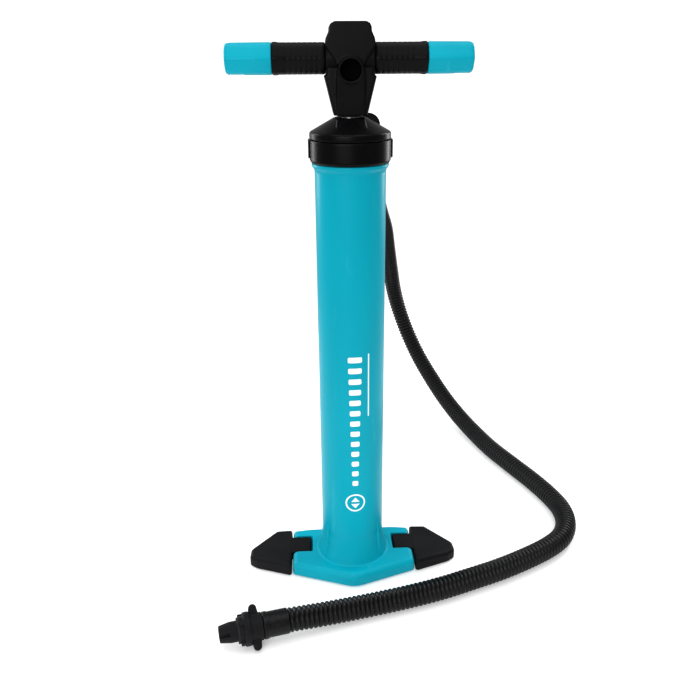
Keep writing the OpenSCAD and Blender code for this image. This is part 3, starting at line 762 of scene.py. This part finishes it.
def pill(x, y, width, height, steps=8):
    """A rectangle with round corners, centred on a point."""
    edge = min(width, height) * 0.28
    corners = [(1, 1, 0), (-1, 1, 90), (-1, -1, 180), (1, -1, 270)]
    return [(x + sx * (width / 2 - edge) + edge * math.cos(math.radians(start + 90 * i / steps)),
             y + sy * (height / 2 - edge) + edge * math.sin(math.radians(start + 90 * i / steps)))
            for sx, sy, start in corners for i in range(steps + 1)]


def circle(x, y, radius, steps=48):
    return [(x + radius * math.cos(2 * math.pi * i / steps),
             y + radius * math.sin(2 * math.pi * i / steps)) for i in range(steps)]


def arrow(x, y, size):
    """An arrow head that points up, or down where its size is below zero."""
    half = abs(size) * 0.85
    return [(x - half, y), (x + half, y), (x, y + size)]


def merged(name, parts):
    """One mesh that holds several separate ones."""
    made = bmesh.new()
    for part in parts:
        made.from_mesh(part)
    mesh = bpy.data.meshes.new(name)
    made.to_mesh(mesh)
    made.free()
    return mesh


sign_x, sign_z, sign_radius = 2 * mm, 105.5 * mm, 12 * mm
arrow_gap, arrow_size = 1.4 * mm, 6 * mm
films = [film(circle(sign_x, sign_z, sign_radius), [circle(sign_x, sign_z, sign_radius * 0.84)]),
         film(arrow(sign_x, sign_z + arrow_gap, arrow_size)),
         film(arrow(sign_x, sign_z - arrow_gap, -arrow_size)),
         film(pill(18 * mm, 258 * mm, 1.5 * mm, 77 * mm))]
ladder_low, ladder_high, bar_count = 126 * mm, 297 * mm, 13
narrowest, widening = 7, 9
bar_pitch = (ladder_high - ladder_low) / bar_count
for i in range(bar_count):
    width = (narrowest + widening * i / (bar_count - 1)) * mm
    films.append(film(pill(sign_x, ladder_low + (i + 0.5) * bar_pitch, width, bar_pitch / 2)))


def white_print(name):
    """Screen printing ink, thin enough that its edge is crisp and its face is satin."""
    finish = Finish(name)
    fleck = finish.noise(900.0, 4.0, None, 0.65)
    body = finish.mix(fleck.above(0.66, 0.78), tone(linear(244, 247, 248)),
                      tone(linear(190, 226, 232)))
    return finish.done(Base_Color=body, Roughness=0.42 + (fleck - 0.5) * 0.2,
                       Normal=finish.bump(fleck, 0.02 * mm, 0.3))


sign = placed(merged("barrel_print", films), "barrel_print")
sign.data.materials.append(white_print("white_print"))
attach(sign, "barrel")
print(f"barrel_print: {len(films)} films")

# %% [markdown]
# ## The cap and its screw ring
# The cap is glossier than the rest, because its cone and band were polished in the mould.
# The handle's neck comes down on a raised saddle, and the screw ring under the cap has two
# lugs to turn it by. Both are copies of the frame's parts, softened like the nozzle.
# %% Soften the cap and the ring
cap_mesh = softened(frame_copy("cap_body"), 0.62 * mm, 5)
piece("cap", cap_mesh, black_cap, ["cap_body"])
ring_mesh = softened(frame_copy("cap_ring"), 0.6 * mm, 4)
piece("screw_ring", ring_mesh, black_cap, ["cap_ring"])

# %% [markdown]
# ## The base
# The base plate carries the barrel in a flared socket with four fins, and has a notch on
# each side for a folding foot's tongue. Three steps make it: the plate of the frame's copy
# is kept only where it is inside a domed blank, which rounds its rim; the copy's own stepped
# flare is cut away round the barrel; and a smooth spun flare and the fins are joined on.
# %% Round the base and its flare
plate_top, plate_edge = 18 * mm, 7 * mm
flare_top = 53
fin_turns = (-36, 36, 144, 216)


def beside_barrel(outline):
    """Turns points of (distance out from the barrel, height), in millimetres, to metres."""
    return [(barrel_radius + out * mm, up * mm) for out, up in outline]


def fin(turn):
    """A thin buttress up the side of the barrel, at some degrees from the front."""
    outline = beside_barrel([(-1.0, 14), (7.2, 14), (6.0, 24), (4.2, 34), (2.6, 46), (1.2, 58),
                             (-0.4, 68), (-1.0, 68)])
    upright = Matrix.Rotation(math.radians(turn), 4, "Z") @ Matrix.Rotation(math.pi / 2, 4, "X")
    return prism(outline, -1.5 * mm, 1.5 * mm, upright)


base_copy = frame_copy("base_plate")
plate_outline = hull_outline((v.co.x, v.co.y) for v in base_copy.vertices
                             if v.co.z < plate_top - 5 * mm)
blank = domed(plate_outline, 0, plate_top, plate_edge)
column_radius = barrel_radius + 9 * mm
column = turned("column", [(0, 5 * mm), (column_radius, 5 * mm), (column_radius, 70 * mm),
                           (0, 70 * mm)], 0)
base_mesh = combined(base_copy, [joined(blank, column)], "INTERSECT")

# The flare goes from the plate up to where it dives into the barrel's wall.
skirt = beside_barrel([(7.0, 17), (5.5, 22), (3.3, 29), (1.4, 37), (0.45, 45),
                       (-0.4, flare_top)])
around = turned("around", [
    (0, (flare_top + 1) * mm), (skirt[-1][0], (flare_top + 1) * mm), *reversed(skirt[1:]),
    (barrel_radius + 7.2 * mm, plate_top), (barrel_radius + 12 * mm, plate_top),
    (barrel_radius + 12 * mm, 90 * mm), (0, 90 * mm)], 0)
inner_wall = barrel_radius - 1.2 * mm
flare = turned("flare", [(inner_wall, 10 * mm), (barrel_radius + 7.0 * mm, 10 * mm), *skirt,
                         (inner_wall, flare_top * mm)], 0)
bore = turned("bore", [(0, 8 * mm), (inner_wall, 8 * mm), (inner_wall, 90 * mm),
                       (0, 90 * mm)], 0)
base_mesh = joined(cut(base_mesh, around), flare, *(fin(turn) for turn in fin_turns))
base_mesh = softened(cut(base_mesh, bore), 0.85 * mm, 7)
piece("base", base_mesh, turquoise_base, ["base_plate"])

# %% [markdown]
# ## The feet
# The feet are one part, made left and right. Each is high where it meets the plate and falls
# a little towards its tip. Its top edge is round, so that it can be stepped on, while its
# tongue stays square in its slot.
# %% Round the feet
foot_edge, tip_drop = 4.2 * mm, 2 * mm
for side, word in ((-1, "left"), (1, "right")):
    foot_copy = frame_copy(f"foot_{word}")
    foot_top = span(f"foot_{word}")[1].z
    tip = max(abs(v.co.x) for v in foot_copy.vertices)
    shoulder = min(abs(v.co.x) for v in foot_copy.vertices if v.co.y < -20 * mm)
    outline = hull_outline((v.co.x, v.co.y) for v in foot_copy.vertices
                           if abs(v.co.x) > shoulder - 0.01 * mm)
    blank = domed(outline, 0, foot_top, foot_edge,
                  lambda x: max(0, x - shoulder) / (tip - shoulder) * tip_drop)
    near, far = sorted((side * (shoulder + 4 * mm), side * (shoulder - 30 * mm)))
    tongue = box((near, -12 * mm, 0), (far, 24 * mm, foot_top + 1 * mm))
    foot_mesh = combined(foot_copy, [joined(blank, tongue)], "INTERSECT")
    piece(f"moulded_foot_{word}", softened(foot_mesh, 0.62 * mm, 7), black_foot,
          [f"foot_{word}"])

# %% [markdown]
# ## The handle
# The handle's two shells meet on a seam and clamp the rod between them. They are copies of the
# frame's parts, softened. The faces inside the round socket get a second, rougher finish that is
# painted nearly black, as painted shade for the deep bore.
# %% Soften the handle's shells
socket_skin, socket_lip, socket_end = 10.9 * mm, 0.6 * mm, 24 * mm
front_shell = softened(frame_copy("handle_shell_front"), 0.72 * mm, 5)
hub_front = piece("hub_front", front_shell, black, ["handle_shell_front"])
# The socket's second finish darkens the hub's black to nearly black (3 instead of 14) as painted
# shade inside the deep bore, and is rougher.
hub_front.data.materials.append(black_plastic("black_socket_plastic", 3, 0.8))
shaded_socket_faces = 0
# Faces inside the socket take the painted-shade finish.
for face in hub_front.data.polygons:
    away = face.center - socket_mouth
    if math.hypot(away.x, away.z) < socket_skin and socket_lip < away.y < socket_end:
        face.material_index = 1
        shaded_socket_faces += 1
print("dull faces inside the socket:", shaded_socket_faces)
rear_shell = softened(frame_copy("handle_shell_rear"), 0.72 * mm, 5)
piece("hub_rear", rear_shell, black, ["handle_shell_rear"])

# %% [markdown]
# The grips and the end grips are sleeves with a crease along the front and the back, where
# two flat facets meet, so that the hand feels how the handle is turned. A sleeve is a row of
# rings, each with its own size, so that its ribs and its rounded ends are one list. Each end
# grip has a slot underneath.
# %% Make the sleeves of the grips
facet_lean, edge_sharpness = math.radians(27), 26


def grip_section(turn):
    """The grip's radius, as a share, at a turn from the front: round above and below."""
    reach = [1.0]
    for facing in (0, math.pi):
        for lean in (-facet_lean, facet_lean):
            facing_share = math.cos(turn - facing - lean)
            if facing_share > 0.2:
                reach.append(math.cos(facet_lean) / facing_share)
    return sum(share ** -edge_sharpness for share in reach) ** (-1 / edge_sharpness)


def grip_sleeve(name, side, stations, sides=144):
    """A closed skin along X. Each station is (distance from the middle, radius, is round)."""
    made, rings = bmesh.new(), []
    for distance, radius, is_round in stations:
        ring = []
        for i in range(sides):
            turn = 2 * math.pi * i / sides
            reach = radius * (1.0 if is_round else grip_section(turn))
            ring.append(made.verts.new((side * distance, -reach * math.cos(turn),
                                        handle_height + reach * math.sin(turn))))
        rings.append(ring)
    closed = rings[1:] + (rings[:1] if stations[0][1] > 1e-6 else [])
    for first, second in zip(rings, closed):
        for i in range(sides):
            j = (i + 1) % sides
            made.faces.new([first[i], first[j], second[j], second[i]])
    return mesh_from(made, name)


def skin(start, steps):
    """Stations from (distance past the start, height over the grip's skin), in millimetres."""
    return [(start + past * mm, grip_radius + over * mm, False) for past, over in steps]


arm_radius = 11.02 * mm
groove_count, groove_spacing, groove_sink = 7, 5.2 * mm, 0.22
grip_end = end_grip_start - 0.2 * mm
grip_stations = [(grip_start, arm_radius, True)]
grip_stations += skin(grip_start, [(0, -1.2), (0.4, -0.6), (1.2, 0)])
for i in range(groove_count):
    grip_stations += skin(grip_start + 7 * mm + i * groove_spacing, [
        (-0.7, 0), (-0.25, -groove_sink), (0.25, -groove_sink), (0.7, 0)])
grip_stations += skin(grip_end, [(-7, 0), (-4.6, 0.55), (-1.6, 0.6), (-0.5, 0.2), (0, -0.6)])
grip_stations += [(grip_end, arm_radius, True)]
end_bore = handle_half - 4.6 * mm
end_stations = [(end_bore, 0, True), (end_bore, arm_radius, True),
                (end_grip_start, arm_radius, True),
                *skin(end_grip_start, [(0, -0.7), (0.5, -0.1), (1.5, 0.25)]),
                *skin(handle_half, [(-6, 0), (-3, -0.35), (-1.2, -1.3), (-0.3, -3)]),
                (handle_half, grip_radius - 5 * mm, True), (handle_half, 0, True)]
for side, word in ((-1, "left"), (1, "right")):
    piece(f"ribbed_grip_{word}", grip_sleeve("grip", side, grip_stations), black_grip,
          [f"grip_{word}"])
    near, far = sorted((side * (handle_half - 19 * mm), side * (handle_half - 4 * mm)))
    finger_slot = box((near, -4 * mm, handle_height - grip_radius - 2 * mm),
                      (far, 4 * mm, handle_height - grip_radius + 1.6 * mm))
    end_mesh = cut(grip_sleeve("end", side, end_stations), finger_slot)
    piece(f"moulded_end_grip_{word}", end_mesh, turquoise_plastic(f"end_{word}", 0.38),
          [f"end_grip_{word}"])

# %% [markdown]
# ## The port's nut
# A round nut holds the hose to the cap. Twelve low ribs along it let wet fingers turn it.
# They are one rib, repeated by Geometry Nodes on the points of a circle, and each point's
# own heading lays its rib along the nut.
# %% Spread a shape on points
spread = Grower("spread_on_points", Shape="object", Material="material")
facing = spread.node("GeometryNodeInputNamedAttribute", {"Name": "facing"},
                     data_type="FLOAT_VECTOR")
turned_out = spread.node("FunctionNodeAlignRotationToVector", {"Vector": facing}, axis="Z")
shape = spread.node("GeometryNodeObjectInfo", {"Object": spread.input("Shape")}, out="Geometry")
copies = spread.node("GeometryNodeInstanceOnPoints", {
    "Points": spread.input("Geometry"), "Instance": shape, "Rotation": turned_out})
spread.result(copies)


def spread_out(name, shape_mesh, finish, spots):
    """Copies of a shape, whose Z axis is turned to the heading of each (point, heading)."""
    points = bpy.data.meshes.new("spots")
    points.from_pydata([point for point, heading in spots], [], [])
    facings = points.attributes.new("facing", "FLOAT_VECTOR", "POINT")
    for place, (point, heading) in enumerate(spots):
        facings.data[place].vector = heading
    sample = placed(shape_mesh, "sample")
    mesh = grown(points, spread, name, Shape=sample, Material=finish)
    bpy.data.objects.remove(sample, do_unlink=True)
    return mesh


nut_back = 37.1 * mm
rib_total, rib_length, rib_radius = 12, 12 * mm, 0.9 * mm
nut_place = along_axis(hose_start - port_axis * nut_back, port_axis)
nut_body = turned("nut", sleeve_outline(
    [(14.6, 11.1), (15.5, 11.6), (15.5, 24.6), (14.8, 25.9)], 10.3), 0.5 * mm, 96, nut_place)
rib = turned("rib", [(0, 0), (rib_radius, 0), (rib_radius, rib_length), (0, rib_length)],
             0.35 * mm, 12)
rib_turns = [Matrix.Rotation(2 * math.pi * i / rib_total, 4, "Z") for i in range(rib_total)]
rib_foot = Vector((15.4 * mm, 0, 12 * mm))
rib_spots = [(nut_place @ turn @ rib_foot, port_axis) for turn in rib_turns]
nut_ribs = spread_out("nut_ribs", rib, black, rib_spots)
piece("ribbed_nut", merged("ribbed_nut", [nut_body, nut_ribs]), black, ["hose_nut"])

# %% [markdown]
# ## The screws
# Every screw has a pan head with a cross recess. One head is made for each set, and the same tree
# puts a copy on each of the frame's screws. A screw's place is worked out from its own loose part
# in the frame: each set is given its heading, and the head's top is the end of the part that lies
# farthest along it.
# %% Cut a cross recess and spread the screws
def screw_mesh(radius, depth, shank):
    """A pan head screw whose head's top is at the origin and faces +Z."""
    outline = [(0, 0), (radius * 0.72, 0), (radius, -depth * 0.5), (radius, -depth),
               (shank, -depth), (shank, -depth - 5 * mm), (0, -depth - 6 * mm)]
    head = turned("screw", outline, 0.25 * mm, 48)
    arm, reach = radius * 0.13, radius * 0.55
    recess = joined(box((-reach, -arm, -depth * 0.7), (reach, arm, 1 * mm)),
                    box((-arm, -reach, -depth * 0.7), (arm, reach, 1 * mm)))
    return cut(head, recess)


def loose_parts(node):
    """The points of each separate solid of a part of the frame."""
    made = bmesh.new()
    made.from_mesh(frame["nodes"][node].data)
    bmesh.ops.remove_doubles(made, verts=made.verts, dist=1e-6)
    left, groups = set(made.verts), []
    while left:
        group, edge_of_group = set(), [left.pop()]
        while edge_of_group:
            here = edge_of_group.pop()
            group.add(here)
            for edge in here.link_edges:
                after = edge.other_vert(here)
                if after in left:
                    left.discard(after)
                    edge_of_group.append(after)
        groups.append([vert.co.copy() for vert in group])
    made.free()
    return groups


def screw_spots(node, heading_at):
    """The middle of each head's top, with its heading."""
    spots = []
    for points in loose_parts(node):
        heading = heading_at(sum(points, Vector()) / len(points))
        top = max(point.dot(heading) for point in points)
        heads = [point for point in points if point.dot(heading) > top - 1e-5]
        spots.append((sum(heads, Vector()) / len(heads), heading))
    return spots


def outwards(point):
    return Vector((point.x, point.y, 0)).normalized()


screw_sets = {"handle_screws": (lambda point: Vector((0, 1, 0)), 3.1, 2.3),
              "base_cover_screws": (lambda point: Vector((0, 0, -1)), 3.0, 1.1),
              "barrel_screws": (outwards, 3.0, 1.9)}
for node, (heading_at, head_radius, head_depth) in screw_sets.items():
    sample = screw_mesh(head_radius * mm, head_depth * mm, 1.5 * mm)
    screws = spread_out(node, sample, steel, screw_spots(node, heading_at))
    piece(f"cross_{node}", screws, steel, [node])

# %% [markdown]
# ## The rod
# The rod is drawn aluminium tube. Both of its ends are hidden, one in the piston and one in
# the handle, so only its skin matters. Its finish has scratches that run along it, from
# sliding in its bushing.
# %% Spin the rod
rod_low, rod_high, _ = span("rod_tube")
rod_radius = rod_high.x
rod_bore = rod_radius - 2 * mm
rod_outline = [(rod_bore, rod_low.z), (rod_radius, rod_low.z), (rod_radius, rod_high.z),
               (rod_bore, rod_high.z)]
piece("drawn_rod", turned("rod", rod_outline, 0.4 * mm, 128), aluminium, ["rod_tube"])

# %% [markdown]
# ## Finishes for the frame's own parts
# Seals, valves, pins and the other parts inside are right as they are. They keep their shape
# and only get the finish that their slot in the record names. The nozzle's gasket is black
# rubber.
# %% Paint the frame's parts
slot_finish = {"turquoise_plastic": turquoise, "black_plastic": black, "grip_plastic": black_grip,
               "hose_rubber": hose_skin, "seal_rubber": seal, "silicone": silicone,
               "nylon": nylon, "rod_aluminium": aluminium, "steel": steel}
for part in frame["record"]["subparts"]:
    shown = frame["nodes"][part["node"]]
    shown.data.materials.clear()
    shown.data.materials.append(slot_finish[part["material_slot"]])
frame["nodes"]["nozzle_gasket"].data.materials[0] = seal

# %% [markdown]
# ## The floor
# The pump stands on white paper that fades out into a white room, so there is no horizon.
# The paper keeps the pump's soft shadow, and glows a little so that it stays white.
# %% Lay the floor
floor_rim = circle(0, 0, 3)
floor_data = bpy.data.meshes.new("floor")
floor_data.from_pydata([(x, y, 0) for x, y in floor_rim], [], [list(range(len(floor_rim)))])
floor = placed(floor_data, "floor")
floor.location.z = -0.2 * mm
paper = Finish("pale_floor")
distance = paper.node("ShaderNodeVectorMath", {0: paper.place}, out=1, operation="LENGTH")
floor_data.materials.append(paper.done(
    Base_Color=(0.93, 0.93, 0.93, 1), Roughness=0.9, Specular_IOR_Level=0.1,
    Emission_Color=(1, 1, 1, 1), Emission_Strength=0.22,
    Alpha=1 - distance.above(0.5, 1.15)))
print("the paper fades out between 0.5 and 1.15 m from the pump")

# %% [markdown]
# ## Light
# The room is white to look at but lights the pump softly, so the black parts stay black. A
# large lamp at the front gives the faces that look forward their colour, one above lights
# the feet and the plate, and one lamp behind each side draws a bright line down the edges
# of the black parts.
# %% Set up the room and the lamps
world = bpy.data.worlds.new("white_room")
world.use_nodes = True
room = Graph(world.node_tree)
background = world.node_tree.nodes["Background"]
room_light = 0.42
seen = room.node("ShaderNodeLightPath")
room.give(background.inputs["Color"], (1, 1, 1, 1))
room.give(background.inputs["Strength"], room_light + seen * (1 - room_light))
bpy.context.scene.world = world
bpy.context.scene.view_settings.view_transform = "Standard"
bpy.context.scene.view_settings.look = "Medium High Contrast"


def softbox(name, position, target, width, height, power):
    light = bpy.data.lights.new(name, "AREA")
    light.shape, light.size, light.size_y, light.energy = "RECTANGLE", width, height, power
    lamp = bpy.data.objects.new(name, light)
    bpy.context.scene.collection.objects.link(lamp)
    lamp.location = position
    aim = Vector(target) - Vector(position)
    lamp.rotation_euler = aim.to_track_quat("-Z", "Y").to_euler()
    print(f"{name}: {power} W")


softbox("front", (-0.7, -2.0, 0.95), (0, 0, 0.25), 1.6, 1.2, 21)
softbox("top", (0.0, -0.2, 2.2), (0, 0, 0), 2.0, 2.0, 20)
softbox("rim_left", (-1.0, 0.8, 0.75), (0, 0, 0.45), 0.45, 1.2, 8)
softbox("rim_right", (1.0, 0.8, 0.75), (0, 0, 0.45), 0.45, 1.2, 8)
